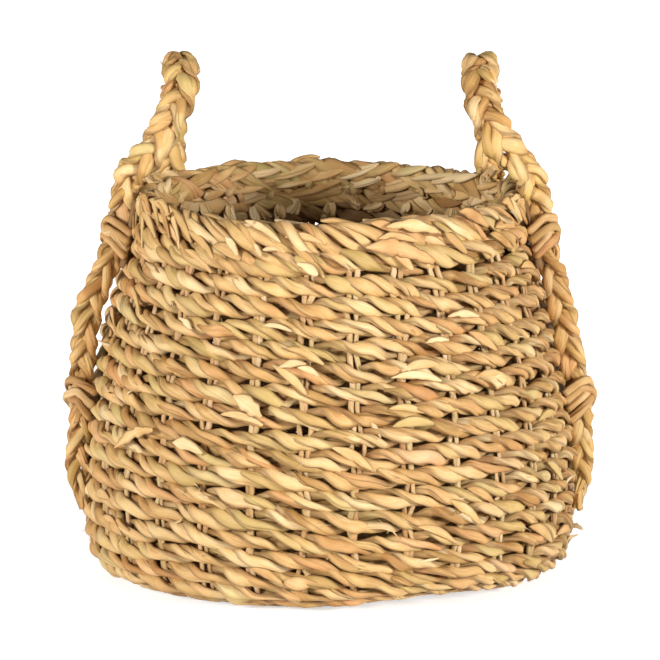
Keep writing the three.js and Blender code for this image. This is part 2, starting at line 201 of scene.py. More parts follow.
def run_of(path):
    """How far along a path each of its points lies."""
    return np.concatenate([[0], np.cumsum(np.linalg.norm(np.diff(path, axis=0), axis=1))])


def unit(vectors):
    return vectors / np.linalg.norm(vectors, axis=-1, keepdims=True)


def ahead_of(path):
    return unit(np.gradient(path, axis=0))


def square_to(vectors, ahead):
    """Directions turned so that they are square to the way ahead."""
    return unit(vectors - (vectors * ahead).sum(1, keepdims=True) * ahead)


def make_outline():
    """Radius and height of the body from the middle of the base to the mouth, with the run along it."""
    rise = BODY_HEIGHT - BELLY_HEIGHT
    swell = BELLY_RADIUS - FOOT_RADIUS
    neck = BELLY_RADIUS - MOUTH_RADIUS
    foot = bezier(
        (FOOT_RADIUS, 0),
        (FOOT_RADIUS + swell * FOOT_RUN_SHARE, 0),
        (BELLY_RADIUS, BELLY_HEIGHT * BELLY_EASE_SHARE),
        (BELLY_RADIUS, BELLY_HEIGHT),
    )
    wall = bezier(
        (BELLY_RADIUS, BELLY_HEIGHT),
        (BELLY_RADIUS, BELLY_HEIGHT + rise * SHOULDER_EASE_SHARE),
        (MOUTH_RADIUS + neck * NECK_RADIUS_SHARE, BELLY_HEIGHT + rise * NECK_HEIGHT_SHARE),
        (MOUTH_RADIUS, BODY_HEIGHT),
    )
    points = np.vstack([[(0, 0)], foot, wall[1:]])
    return run_of(points), points


OUTLINE_RUN, OUTLINE = make_outline()
OUTLINE_LENGTH = OUTLINE_RUN[-1]
ROW_PITCH = (OUTLINE_LENGTH - BORDER_DROP - WALL_RUN) / WALL_TURNS


def on_wall(run, depth=0.0):
    """Radius, height, and outward and onward directions (radial, up) of the wall at a run and a depth."""
    def at(where):
        return [np.interp(where, OUTLINE_RUN, line) for line in OUTLINE.T]
    radial, up = at(run)
    span = 0.001
    along = unit(np.stack(np.subtract(at(run + span), at(run - span)), -1))
    out = np.stack([along[..., 1], -along[..., 0]], -1)
    return radial - depth * out[..., 0], up - depth * out[..., 1], out, along


def base_share(run):
    """1 on the base and 0 on the wall, changing over the foot."""
    return np.clip((WALL_RUN - run) / 0.03, 0, 1)


def run_at(height):
    """Run along the outline at which the wall reaches a height."""
    wall = OUTLINE[:, 1] > 0
    return np.interp(height, OUTLINE[wall, 1], OUTLINE_RUN[wall])


def turned(radial, up, angle):
    """Points or directions in space from radial and upward parts at an azimuth."""
    return np.stack([radial * np.cos(angle), radial * np.sin(angle), up + 0 * angle], -1)


def sideways_at(angle):
    return np.stack([-np.sin(angle), np.cos(angle), 0 * angle], -1)


def off_wall(wall, turn, lift=0.0):
    """Points at a lift off places that on_wall gave, and the directions they face."""
    radial, up, out, _ = wall
    return turned(radial + lift * out[:, 0], up + lift * out[:, 1], turn), turned(out[:, 0], out[:, 1], turn)


# Random but repeatable variation


def eased(share):
    return share * share * (3 - 2 * share)


def drift(rng, along, reach):
    """Smooth random values with a spread of about 1 that change over a reach along a strand."""
    steps = (along - along[0]) / reach
    values = rng.standard_normal(int(steps[-1]) + 3)
    at = steps.astype(int)
    share = eased(steps - at)
    return values[at] * (1 - share) + values[at + 1] * share


def leaf_looks(rng, along, shortest=0.06, longest=0.20):
    """Tone, greenness and redness along a strand, as one leaf follows another in it."""
    length = along[-1] - along[0]
    ends = along[0] + np.cumsum(rng.uniform(shortest, longest, int(length / shortest) + 2))
    leaf = np.searchsorted(ends, along)
    count = len(ends) + 1
    tone = rng.normal(0.52, 0.17, count)[leaf] + 0.05 * drift(rng, along, 0.018)
    green = (rng.uniform(0, 1, count) ** 2.6)[leaf] + 0.08 * drift(rng, along, 0.03)
    red = (rng.uniform(0, 1, count) ** 4.5)[leaf] + 0.16 * np.maximum(drift(rng, along, 0.016) - 0.7, 0)
    return np.stack([tone, green, red, 0 * along], -1)


def stretches(theta):
    """Which pass over one side of the wall each sample of a twined leaf is in, and how many there are."""
    stretch = np.floor((theta - math.pi / 2) / math.pi).astype(int)
    stretch -= stretch.min()
    return stretch, stretch.max() + 1


def pass_looks(rng, along, theta, shade):
    """The looks of a twined leaf: it is alike along each stretch that shows at one side of the wall."""
    stretch, count = stretches(theta)
    own = np.repeat(rng.normal(0, 0.08, count // 4 + 1), 4)[:count]
    tone = (0.50 + own + rng.normal(0, 0.12, count))[stretch] + 0.05 * drift(rng, along, 0.018)
    # Painted shade on the inner side of the wall: shade lowers the tone there and sets how far the colour
    # mixes to the painted shade colour; the added green is the leaves' own colour.
    inner = np.clip(0.35 - np.cos(theta), 0, 1)
    green = (rng.uniform(0, 1, count) ** 3.2)[stretch] + 0.08 * drift(rng, along, 0.03) + 0.15 * inner
    red = (rng.uniform(0, 1, count) ** 4.0)[stretch] + 0.16 * np.maximum(drift(rng, along, 0.016) - 0.7, 0)
    return np.stack([tone - 0.16 * shade * inner, green, red, shade * inner], -1)


# Leaves

# Section of a folded leaf: the angle round it, and how deep a crease dips there
LEAF_SECTION = np.array([
    (0.00, 0.34), (0.15, 0.05), (0.50, -0.02), (0.95, -0.03), (1.35, -0.01), (1.75, 0.00), (2.20, 0.01),
    (2.62, 0.02), (2.84, 0.24), (3.02, 0.02), (3.45, -0.02), (3.95, -0.02), (4.40, 0.00), (4.80, -0.01),
    (5.25, -0.03), (5.70, -0.05), (6.08, -0.07),
])
FINE_SECTION = np.array([(0.00, 0.10), (1.10, 0.0), (2.10, 0.0), (3.14, 0.10), (4.20, 0.0), (5.20, 0.0)])

Leaf = namedtuple("Leaf", "path facing thick wide tilt roll look")


def part_of(leaf, low, high):
    """A stretch of a leaf. Its ends thin out inside the stretches next to it, so that no seam shows."""
    start, end = max(low - 3, 0), min(high + 4, len(leaf.path))
    part = Leaf(*(values[start:end] for values in leaf))
    ease = np.ones(end - start)
    ease[:3], ease[-3:] = (0.80, 0.92, 0.98), (0.98, 0.92, 0.80)
    return part._replace(thick=part.thick * ease, wide=part.wide * ease)


def make_leaf(rng, path, facing, half, look=None, tilt=0.0, turn_length=0.11):
    """A leaf along a path with its flat side towards facing. half is its half thickness and half width."""
    along = run_of(path)
    thick = half[0] * (1 + 0.10 * drift(rng, along, 0.03))
    wide = half[1] * (1 + 0.10 * drift(rng, along, 0.03))
    tilts = tilt + 0.20 * drift(rng, along, 0.03)
    roll = rng.uniform(-0.9, 0.9) + along * 2 * math.pi / turn_length * rng.choice([-1, 1]) * 0.5
    roll = roll + 0.5 * drift(rng, along, 0.04)
    if look is None:
        look = leaf_looks(rng, along)
    return Leaf(path, facing, thick, wide, tilts, roll, look)


def in_scene(name, data):
    """A new object in the scene."""
    made = bpy.data.objects.new(name, data)
    bpy.context.scene.collection.objects.link(made)
    return made


class Piece:
    """Collects leaves and turns them into one mesh."""

    def __init__(self, name, seed):
        self.name = name
        self.rng = np.random.default_rng(seed)
        self.points, self.looks, self.quads, self.tris = [], [], [], []
        self.quad_maps, self.tri_maps, self.strips = [], [], []
        self.count = 0

    def add(self, leaf, section=LEAF_SECTION):
        """A closed tube of the leaf's flat section, with painted shade that darkens its creases towards their
        bottoms and its edges.
        """
        rng, path = self.rng, leaf.path
        along, ahead = run_of(path), ahead_of(path)
        flat = square_to(leaf.facing, ahead)
        edge = np.cross(ahead, flat)
        cosine, sine = np.cos(leaf.tilt)[:, None], np.sin(leaf.tilt)[:, None]
        first, second = flat * cosine + edge * sine, edge * cosine - flat * sine
        turn = section[:, 0] + leaf.roll[:, None]
        crease = (0.50 + 0.45 * drift(rng, along, 0.035)).clip(0.05, 1.2)[:, None] * section[:, 1]
        facet = sum(0.06 * np.cos(sides * turn + 3 * drift(rng, along, 0.05)[:, None]) for sides in (2, 3))
        reach = 1 - crease + facet
        across = (leaf.thick[:, None] * np.cos(turn) * reach)[..., None] * first[:, None]
        aside = (leaf.wide[:, None] * np.sin(turn) * reach)[..., None] * second[:, None]
        look = np.zeros(turn.shape + (4,))
        look[..., :3] = leaf.look[:, None, :3]
        # Painted shade: creases darken towards their bottoms and the leaf's edges darken where shade falls; a
        # look's own painted shade is kept where it is more.
        shade = np.maximum(crease.clip(0, 1) * 2, 0.80 * np.abs(np.sin(turn)) ** 6)
        look[..., 3] = np.maximum(shade, leaf.look[:, None, 3])
        self._add_tube(path[:, None] + across + aside, look, path, along, section[:, 0] / (2 * math.pi))

    def _add_tube(self, ring, look, path, along, round_share):
        count, sides = ring.shape[:2]
        start = self.count
        self.points += [ring.reshape(-1, 3), path[[0, -1]]]
        self.looks += [look.reshape(-1, 4), look[[0, -1], 0]]
        index = start + np.arange(count * sides).reshape(count, sides)
        near, far = index[:-1], index[1:]
        quads = np.stack([near, np.roll(near, -1, 1), np.roll(far, -1, 1), far], -1)
        self.quads.append(quads.reshape(-1, 4))
        caps = start + count * sides + np.array([0, 1])
        front = np.stack([np.roll(index[0], -1), index[0], np.full(sides, caps[0])], -1)
        back = np.stack([index[-1], np.roll(index[-1], -1), np.full(sides, caps[1])], -1)
        self.tris += [front, back]
        self.count += count * sides + 2
        girth = np.linalg.norm(np.roll(ring[count // 2], -1, 0) - ring[count // 2], axis=1).sum()
        shift = self.rng.uniform(0, 9, 2)
        left = np.append(round_share, 1)
        u = along + shift[0]
        v = left * girth + shift[1]
        corner_u = np.stack([u[:-1], u[:-1], u[1:], u[1:]], -1)[:, None].repeat(sides, 1)
        corner_v = np.stack([v[:-1], v[1:], v[1:], v[:-1]], -1)[None].repeat(count - 1, 0)
        self.quad_maps.append(np.stack([corner_u, corner_v], -1).reshape(-1, 2))
        self.tri_maps += [np.tile([end, shift[1]], (sides * 3, 1)) for end in u[[0, -1]]]
        self.strips.append((count - 1, along[-1], girth, left))

    def _packed_map(self):
        """A map for baking, with each strand cut into strips that lie side by side."""
        _, lengths, girths, _ = zip(*self.strips)
        strip_length = max(math.sqrt((np.array(lengths) * np.array(girths)).sum()), max(girths))
        parts = []
        for spans, length, girth, left in self.strips:
            in_strip = max(1, int(round(spans * strip_length / max(length, strip_length))))
            parts.append((spans, in_strip, girth, left, math.ceil(spans / in_strip) * girth))
        total = sum(part[-1] for part in parts)
        edge = 0.04
        quads, tris, floor = [], [], 0.0
        for spans, in_strip, girth, left, height in parts:
            step = np.arange(spans)
            u0 = (step % in_strip) / in_strip
            u1 = u0 + 1 / in_strip
            v0 = (floor + step // in_strip * girth + girth * edge) / total
            share = left * (girth * (1 - 2 * edge) / total)
            low, top = v0[:, None] + share[:-1], v0[:, None] + share[1:]
            sides = len(left) - 1
            us = np.stack([u0, u0, u1, u1], -1)[:, None].repeat(sides, 1)
            quads.append(np.stack([us, np.stack([low, top, top, low], -1)], -1).reshape(-1, 2))
            for u, v in ((u0[0], v0[0]), (u1[-1], v0[-1])):
                rim = v + share
                cap = np.stack([rim[1:], rim[:-1], rim[:-1]], -1).reshape(-1)
                tris.append(np.stack([np.full(sides * 3, u), cap], -1))
            floor += height
        return np.vstack(quads + tris)

    def finish(self, material, body="basket", nodes=(), mirrored=False):
        """Makes the mesh object, gives it its material and lets it ride on a body."""
        points = np.vstack(self.points)
        points[:, 2] = np.maximum(points[:, 2], 0.0002) + foot_lift(points)
        quads, tris = np.vstack(self.quads), np.vstack(self.tris)
        maps = {"OFBake": self._packed_map(), "strand": np.vstack(self.quad_maps + self.tri_maps)}
        if mirrored:
            points[:, 0] *= -1
            maps = {name: turned_over(corners, quads.size) for name, corners in maps.items()}
            quads, tris = quads[:, ::-1], tris[:, ::-1]
        mesh = bpy.data.meshes.new(self.name)
        mesh.vertices.add(len(points))
        mesh.vertices.foreach_set("co", points.ravel())
        mesh.loops.add(quads.size + tris.size)
        mesh.loops.foreach_set("vertex_index", np.concatenate([quads.ravel(), tris.ravel()]).astype(np.int32))
        mesh.polygons.add(len(quads) + len(tris))
        starts = np.concatenate([np.arange(len(quads)) * 4, quads.size + np.arange(len(tris)) * 3])
        mesh.polygons.foreach_set("loop_start", starts.astype(np.int32))
        mesh.update(calc_edges=True)
        mesh.shade_smooth()
        for name, corners in maps.items():
            mesh.uv_layers.new(name=name).uv.foreach_set("vector", corners.astype(np.float32).ravel())
        # The leaf colour holds tone, greenness and redness, and its alpha holds the painted shade.
        colour = mesh.attributes.new("leaf", "FLOAT_COLOR", "POINT")
        colour.data.foreach_set("color", np.vstack(self.looks).astype(np.float32).ravel())
        mesh.materials.append(material)
        made = in_scene(self.name, mesh)
        if body:
            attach(made, body)
        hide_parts(*nodes)
        return made


def foot_lift(points):
    """The foot is a little uneven: it stands off the ground at the front right."""
    turn = np.arctan2(points[:, 1], points[:, 0]) - FOOT_LIFT_TURN
    low = np.clip(1 - points[:, 2] / 0.05, 0, 1)
    radius = np.hypot(points[:, 0], points[:, 1])
    outer = np.clip(radius / FOOT_RADIUS, 0, 1)
    edge = np.clip((radius - FOOT_RADIUS + 0.004) / 0.018, 0, 1)
    return low**2 * (FOOT_LIFT * outer**2 * np.exp(-((turn / 0.42) ** 2)) + FOOT_EASE * edge)


def turned_over(corners, quad_corners):
    """A map's corners in the order of faces that are turned over: quads first, then triangles."""
    parts = ((corners[:quad_corners], 4), (corners[quad_corners:], 3))
    return np.vstack([part.reshape(-1, sides, 2)[:, ::-1].reshape(-1, 2) for part, sides in parts])


# Materials


class Nodes:
    """The nodes of a material or a world, with short ways to add and feed them."""

    def __init__(self, owner):
        owner.use_nodes = True
        self.tree = owner.node_tree

    def feed(self, node, feeds):
        """Gives a node's sockets their constants, or links them to what other nodes give."""
        for socket, value in feeds.items():
            if isinstance(value, bpy.types.NodeSocket):
                self.tree.links.new(value, node.inputs[socket])
            else:
                node.inputs[socket].default_value = value

    def add(self, kind, feeds=None, **settings):
        made = self.tree.nodes.new(kind)
        for key, value in settings.items():
            setattr(made, key, value)
        self.feed(made, feeds or {})
        return made

    def maths(self, operation, first, second, clamp=False):
        made = self.add("ShaderNodeMath", {0: first, 1: second}, operation=operation, use_clamp=clamp)
        return made.outputs[0]

    def past(self, value, level, gain, clamp=False):
        """How far a value is past a level, times a gain."""
        return self.maths("MULTIPLY", self.maths("SUBTRACT", value, level), gain, clamp)

    def mix(self, share, first, second, blend="MIX"):
        feeds = {0: share, 6: first, 7: second}
        return self.add("ShaderNodeMix", feeds, data_type="RGBA", blend_type=blend).outputs[2]

    def noise(self, uv, scale, detail, rough=0.5):
        """Noise on a map that is stretched by a scale."""
        place = self.add("ShaderNodeMapping", {"Vector": uv, "Scale": scale}).outputs[0]
        feeds = {"Scale": 1, "Detail": detail, "Roughness": rough, "Vector": place}
        return self.add("ShaderNodeTexNoise", feeds).outputs["Fac"]


def linear(colour):
    """A colour as the eye reads it, from 0 to 255, as the renderer's numbers."""
    shares = [value / 255 for value in colour]
    return (*(s / 12.92 if s <= 0.04045 else ((s + 0.055) / 1.055) ** 2.4 for s in shares), 1.0)


def straw(name, *colours):
    """Dry seagrass leaf: fibres run along it, and tone, green, red and the painted shade of folds, edges and
    inner sides come from the mesh.
    """
    deep, gold, pale, green, red = map(linear, colours)
    material = bpy.data.materials.new(name + "_straw")
    nodes = Nodes(material)
    maths, past, mix = nodes.maths, nodes.past, nodes.mix
    uv = nodes.add("ShaderNodeUVMap", uv_map="strand").outputs["UV"]
    leaf = nodes.add("ShaderNodeAttribute", attribute_name="leaf").outputs
    tones = nodes.add("ShaderNodeSeparateColor", {0: leaf["Color"]}).outputs
    fibre = nodes.noise(uv, (75, 2300, 1), 3, 0.6)
    veins = nodes.noise(uv, (22, 900, 1), 2)
    blotch = nodes.noise(uv, (48, 130, 1), 3, 0.6)
    specks = nodes.noise(uv, (520, 900, 1), 2)
    rust = nodes.noise(uv, (30, 60, 1), 2)
    tone = maths("ADD", maths("ADD", tones[0], past(blotch, 0.5, 0.9)), past(veins, 0.5, 0.45), True)
    ramp = nodes.add("ShaderNodeValToRGB", {0: tone})
    stops = ramp.color_ramp.elements
    stops.new(0.5)
    for number, stop in enumerate(((0.12, deep), (0.5, gold), (0.92, pale))):
        stops[number].position, stops[number].color = stop
    colour = mix(maths("MULTIPLY", tones[1], 0.62, True), ramp.outputs[0], green)
    reddened = maths("ADD", maths("MULTIPLY", tones[2], 0.52), past(rust, 0.60, 2.6, True), True)
    colour = mix(reddened, colour, red)
    colour = mix(past(specks, 0.69, 4.0, True), colour, mix(1.0, colour, linear(SPECK), "MULTIPLY"))
    lines = maths("ADD", maths("MULTIPLY", fibre, 0.50), 0.75)
    streak = nodes.add("ShaderNodeCombineColor", {0: lines, 1: lines, 2: lines})
    colour = mix(1.0, colour, streak.outputs[0], "MULTIPLY")
    relief = maths("ADD", fibre, maths("MULTIPLY", veins, 1.4))
    bump = nodes.add("ShaderNodeBump", {"Strength": 0.75, "Distance": 0.0005, "Height": relief})
    # The leaf attribute's alpha mixes the colour towards the painted shade colour: painted shade in creases,
    # at leaf edges and on inner sides.
    nodes.feed(nodes.tree.nodes["Principled BSDF"], {
        "Base Color": mix(maths("MULTIPLY", leaf["Alpha"], 0.80, True), colour, linear(PAINTED_SHADE)),
        "Roughness": maths("ADD", maths("MULTIPLY", fibre, 0.22), 0.44),
        "Normal": bump.outputs[0],
        "Specular IOR Level": 0.38,
    })
    return material


# Deep, middle and pale tones, then those of greenish and reddish leaves
OUTER_STRAW = straw(
    "outer", (172, 124, 66), (216, 175, 113), (238, 210, 160), (184, 164, 98), (204, 140, 88),
)
STAKE_STRAW = straw(
    "stake", (164, 118, 68), (200, 162, 108), (228, 200, 156), (186, 168, 110), (198, 142, 96),
)
PLAIT_STRAW = straw(
    "plait", (182, 132, 70), (216, 172, 106), (234, 204, 152), (202, 174, 100), (214, 150, 94),
)
TIE_STRAW = straw(
    "tie", (166, 120, 68), (204, 162, 104), (230, 200, 150), (178, 146, 84), (194, 128, 78),
)

# Ropes of two strands

Course = namedtuple("Course", "radial up out ahead angle along")


def course_on_wall(angle, run, depth):
    """The middle line of a rope along the wall, with the wall's directions beside it."""
    radial, up, out, ahead = on_wall(run, depth)
    steps = np.diff(angle) * np.maximum(radial[1:], 0.03)
    return Course(radial, up, out, ahead, angle, np.concatenate([[0], np.cumsum(steps)]))


def rope_leaf(rng, course, theta, bulge, rise, sag, half, dive=0.0, shade=MOUTH_SHADE, straight=RIM_STRAIGHT):
    """A leaf that winds round a course: theta is 0 at the outer side and a quarter turn at the lower side."""
    swell = 1 + 0.10 * drift(rng, course.along, 0.03)
    lift = bulge * np.cos(theta + dive) * swell
    shift = -rise * np.arcsin(straight * np.sin(theta)) / math.asin(straight) * swell - sag * np.cos(theta)
    out, ahead = course.out, course.ahead

    def in_space(outward, onward, middle=(0.0, 0.0)):
        radial, up = (middle[i] + outward * out[:, i] + onward * ahead[:, i] for i in (0, 1))
        return turned(radial, up, course.angle)
    path = in_space(lift, shift, (course.radial, course.up))
    facing = in_space(np.cos(theta) * rise, -np.sin(theta) * bulge * 0.8)
    leaf = make_leaf(rng, path, facing, half, pass_looks(rng, course.along, theta, shade), -0.14)
    stretch, count = stretches(theta)
    fuller = np.pad(rng.uniform(0.72, 1.24, count)[stretch], 3, mode="edge")
    fuller = np.convolve(fuller, np.ones(7) / 7, mode="valid") * (1 + 0.06 * drift(rng, course.along, 0.02))
    wide = leaf.wide * fuller * (0.86 + 0.18 * np.abs(np.cos(theta)) + 0.44 * np.clip(-np.cos(theta), 0, 1))
    return leaf._replace(wide=wide, thick=leaf.thick * (0.6 + 0.4 * fuller) * (1 + 0.5 * np.sin(theta) ** 2))


def hastened(theta, haste):
    """A leaf passes the outer side of a rope on a shorter stretch than the inner side."""
    return theta + haste * np.sin(theta)


def loose(rng, along, size=1.0):
    """How far a leaf runs ahead of its place in the twist, in radians."""
    return size * (0.21 * drift(rng, along, 0.05) + 0.10 * drift(rng, along, 0.018))


# Twined rows


def spiral_places(rng):
    """Stake places and the turn of the two strands, sample by sample, from the first round to the border."""
    places = []
    stakes = int(round((OUTLINE_LENGTH - BORDER_DROP - FIRST_ROUND_RUN) / ROW_PITCH * STAKES))
    for stake in range(stakes):
        run = FIRST_ROUND_RUN + ROW_PITCH * (stake + 0.5) / STAKES
        radius = on_wall(run)[0]
        count = int(np.clip(round(radius * STAKE_STEP / SAMPLE), 8, 24))
        places.append(stake + np.arange(count) / count)
    place = np.concatenate(places)
    turn = math.pi * place
    return place, turn + 0.22 * drift(rng, place, 0.7) * np.sin(math.pi * (place % 1)) ** 2


def wall_wobble(angle, run):
    """How far the rows stray along the wall, alike in neighbouring rows."""
    stray = 0.0011 * np.sin(3 * angle + 31 * run + 1.0) + 0.0008 * np.sin(5 * angle - 47 * run + 2.1)
    return stray + 0.0005 * np.sin(11 * angle + 60 * run + 0.4) + 0.0004 * np.sin(17 * angle - 80 * run)


def twined_leaves(rng, place, turn):
    """The four leaves of the rows, from the middle of the base to the border."""
    angle = (place + 0.5) * STAKE_STEP
    run = FIRST_ROUND_RUN + ROW_PITCH * place / STAKES
    on_base = base_share(run)
    free = np.sin(math.pi * (place % 1)) ** 2
    wander = 0.0007 * drift(rng, place, 1.7) + 0.0005 * drift(rng, place, 0.6)
    stray = (wall_wobble(angle, run) + wander) * (1 - on_base)
    course = course_on_wall(angle, run + stray, WALL_DEPTH - BASE_RAISE * on_base)
    bulge = STAKE_BULGE + (FREE_BULGE - STAKE_BULGE) * free
    rise = (STAKE_RISE + (FREE_RISE - STAKE_RISE) * free) * (1 + 0.08 * drift(rng, place, 1.3))
    sag = 0.0008 * drift(rng, place, 1.1) + 0.0005
    spread = STAKE_SPREAD + (FREE_SPREAD - STAKE_SPREAD) * free
    leaves = []
    for strand in (0, 1):
        for side in (-1, 1):
            theta = hastened(turn + math.pi * strand + side * spread + loose(rng, course.along), ROW_HASTE)
            shape = (theta, bulge, rise, sag, LEAF_HALF, ROW_DIVE, INNER_SHADE, ROW_STRAIGHT)
            leaves.append(rope_leaf(rng, course, *shape))
    return leaves, course


def make_rows():
    """The rounds of the base and the rows of the wall, cut into pieces of a few turns."""
    rng = np.random.default_rng(11)
    place, turn = spiral_places(rng)
    leaves, course = twined_leaves(rng, place, turn)
    first_wall = (WALL_RUN - FIRST_ROUND_RUN) / ROW_PITCH * STAKES
    seam = SEAM_PLACE + STAKES * math.ceil((first_wall - SEAM_PLACE) / STAKES)
    cuts = [0, seam - STAKES * round(seam / STAKES / 2), seam]
    names = ["base_rounds_inner", "base_rounds_outer"]
    for first in range(0, WALL_TURNS, TURNS_IN_PIECE):
        last = first + TURNS_IN_PIECE
        cuts.append(seam + last * STAKES)
        names.append(f"weft_turns_{first + 1:02d}_{last:02d}")
    for number, name in enumerate(names):
        low, high = np.searchsorted(place, cuts[number : number + 2])
        piece = Piece(name, 100 + number)
        on_base = name.startswith("base")
        for leaf in leaves:
            part = part_of(leaf, low, high)
            piece.add(part)
            if not on_base:
                add_frays(piece, part)
        if on_base:
            piece.finish(OUTER_STRAW, nodes=["base_weave"])
        else:
            add_covers(piece, course, turn, (low, high), STAKE_BULGE, STAKE_RISE, 0.10)
            add_strays(piece, place[low:high])
            piece.finish(OUTER_STRAW, nodes=["weft_rope", "inner_weave"])


def add_covers(piece, course, turn, reach, bulge, rise, share):
    """Broad flat leaves that lie over a rope for less than half a turn here and there."""
    rng = piece.rng
    low, high = reach
    half_turns = turn[low:high] / math.pi
    for number in range(math.ceil(half_turns[0]) + 1, math.floor(half_turns[-1])):
        if rng.random() > share:
            continue
        middle = low + np.searchsorted(half_turns, number + rng.uniform(-0.1, 0.1))
        wing = int(rng.uniform(6, 9))
        at = slice(max(middle - wing, 0), middle + wing)
        part = Course(*(values[at] for values in course))
        theta = turn[at] - number * math.pi
        half = (0.0011, rng.uniform(0.0044, 0.0058))
        leaf = rope_leaf(rng, part, theta * 0.8, bulge + 0.0016, rise, 0.0, half, 0.3)
        arch = 0.35 + 0.65 * np.sin(np.linspace(0.05, 0.95, len(theta)) * math.pi) ** 0.7
        piece.add(leaf._replace(wide=leaf.wide * arch))


def add_frays(piece, leaf, spacing=0.11, flakes=0.18):
    """Pale torn ends that stand off a leaf here and there, where one leaf ends and the next begins."""
    rng = piece.rng
    ahead, length = ahead_of(leaf.path), run_of(leaf.path)[-1]
    outward = unit(leaf.path * (1, 1, 0))
    for at in rng.integers(4, len(leaf.path) - 4, int(length / spacing)):
        if leaf.facing[at] @ outward[at] < 0.4 * np.linalg.norm(leaf.facing[at]):
            continue
        if rng.random() < flakes:
            add_flake(piece, leaf, at, ahead[at])
            continue
        for _ in range(rng.integers(1, 4)):
            away = unit(leaf.facing[at] * rng.uniform(0.4, 1.0) + rng.normal(0, 0.35, 3))
            onward = ahead[at] * rng.choice([-1, 1]) + rng.normal(0, 0.3, 3)
            start = leaf.path[at] + unit(leaf.facing[at]) * leaf.thick[at] * 0.5
            add_fibre(piece, start, onward, away, rng.uniform(0.004, 0.013), rng.uniform(0.0004, 0.0012))


def add_flake(piece, leaf, at, ahead):
    """A torn pale bit of skin that lies on a leaf and curls up at one end."""
    rng = piece.rng
    flat = unit(leaf.facing[at])
    share = np.linspace(0, 1, 8)
    length = rng.uniform(0.006, 0.014)
    onward = unit(ahead * rng.choice([-1, 1]) + 0.35 * rng.normal(0, 1, 3))
    onward = unit(onward - (onward @ flat) * flat)
    start = leaf.path[at] + flat * (leaf.thick[at] + 0.0002)
    path = start + length * (share[:, None] * onward + (0.5 * share**2.4)[:, None] * flat)
    width = rng.uniform(0.0014, 0.0030) * np.sin(math.pi * (0.06 + 0.86 * share)) * rng.uniform(0.8, 1.2, 8)
    looks = np.tile([rng.normal(0.72, 0.12), 0.0, rng.uniform(0, 0.3), 0.0], (len(share), 1))
    facing = flat + 0.8 * share[:, None] * -onward
    piece.add(Leaf(path, facing, 0.00012 + 0 * share, width, 0.6 * share, 0 * share, looks), FINE_SECTION)


def seen_at(right, above):
    """The wall's turn and run at a place seen from the front, right of and above the middle of the base."""
    height = above
    for _ in range(12):
        run = run_at(height)
        radius = max(on_wall(run)[0], abs(right) + 0.002)
        away = -math.sqrt(radius * radius - right * right)
        height = (above - away * math.sin(CAMERA_ELEVATION)) / math.cos(CAMERA_ELEVATION)
    return math.atan2(away, right), run


def add_stray(piece, angle, run, slopes, lengths, widths, proud, tone, reddest, rough):
    """A short leaf at a slope of its own: all but its place and roughness is drawn from the given ranges."""
    rng = piece.rng
    shape = [rng.uniform(*reach) for reach in (slopes, lengths, widths, proud)]
    look = (rng.normal(*tone), rng.uniform(0, 1) ** 3, rng.uniform(0, reddest) ** 2)
    lay_leaf(piece, angle, run, *shape, 0.0, look, rough)


def add_strays(piece, place):
    """Short leaves that lie over the rows here and there."""
    shape = ((-0.75, 0.10), (0.022, 0.036), (0.0028, 0.0042), (-0.0004, 0.0006), (0.48, 0.08), 0.7, 0.05)
    for at in piece.rng.choice(place, int(len(place) * SAMPLE / 0.40)):
        run = FIRST_ROUND_RUN + ROW_PITCH * at / STAKES + piece.rng.normal(0, 0.004)
        if run >= WALL_RUN:
            add_stray(piece, (at + 0.5) * STAKE_STEP, run, *shape)


def add_mouth_strays(piece, count, drops, low=0.0, high=2 * math.pi, slopes=(-0.95, 0.0)):
    """Short leaves that cross the ropes of the mouth on their outer side."""
    shape = (slopes, (0.020, 0.036), (0.0028, 0.0044), (0.0002, 0.0020), (0.44, 0.12), 0.8, 0.06)
    for number in range(count):
        angle = low + (high - low) * (number + piece.rng.uniform(0.1, 0.9)) / count
        add_stray(piece, angle, OUTLINE_LENGTH - piece.rng.uniform(*drops), *shape)


def lay_leaf(piece, angle, run, slope, length, half_width, proud, curl, look, rough=0.16):
    """A broad leaf on the outer side of the wall: proud of it, along a slope, its end curled outwards."""
    share = np.linspace(0, 1, 18)
    step = length * (share - 0.5)
    bend = 0.10 * length * np.sin(share * math.pi)
    down = np.minimum(run + step * math.sin(slope) + bend * math.cos(slope), OUTLINE_LENGTH - 0.002)
    wall = on_wall(down, -proud)
    lift = curl * length * (share**3 + 0.3 * (1 - share) ** 3)
    path, facing = off_wall(wall, angle + step * math.cos(slope) / wall[0].mean(), lift)
    ragged = 1 + rough * drift(piece.rng, step, 0.004)
    shape = half_width * np.sin(math.pi * (0.03 + 0.90 * share)) ** 0.8 * ragged
    looks = np.tile(look + (0.0,), (18, 1)) + 0.05 * drift(piece.rng, step, 0.008)[:, None] * (1, 1, 1, 0)
    roll = 2.2 + 0 * share
    piece.add(Leaf(path, facing, 0.0008 + 0 * share, shape, 0.35 * share - 0.1, roll, looks))


def add_fibre(piece, start, onward, away, length, half_width):
    """A thin ribbon that leaves a surface, curls away from it and ends in a point."""
    share = np.linspace(0, 1, 7)
    path = start + length * (share[:, None] * unit(onward) + (share**1.7)[:, None] * away * 0.55)
    taper = np.clip(1.15 - share, 0.12, 1)
    facing = np.tile(away, (len(share), 1))
    looks = np.tile([0.85 + piece.rng.normal(0, 0.12), 0.0, 0.1, 0.0], (len(share), 1))
    leaf = Leaf(path, facing, 0.00022 * taper, half_width * taper, 0.3 * share, 0 * share, looks)
    piece.add(leaf, FINE_SECTION)


# Thick ropes of the border and the rim


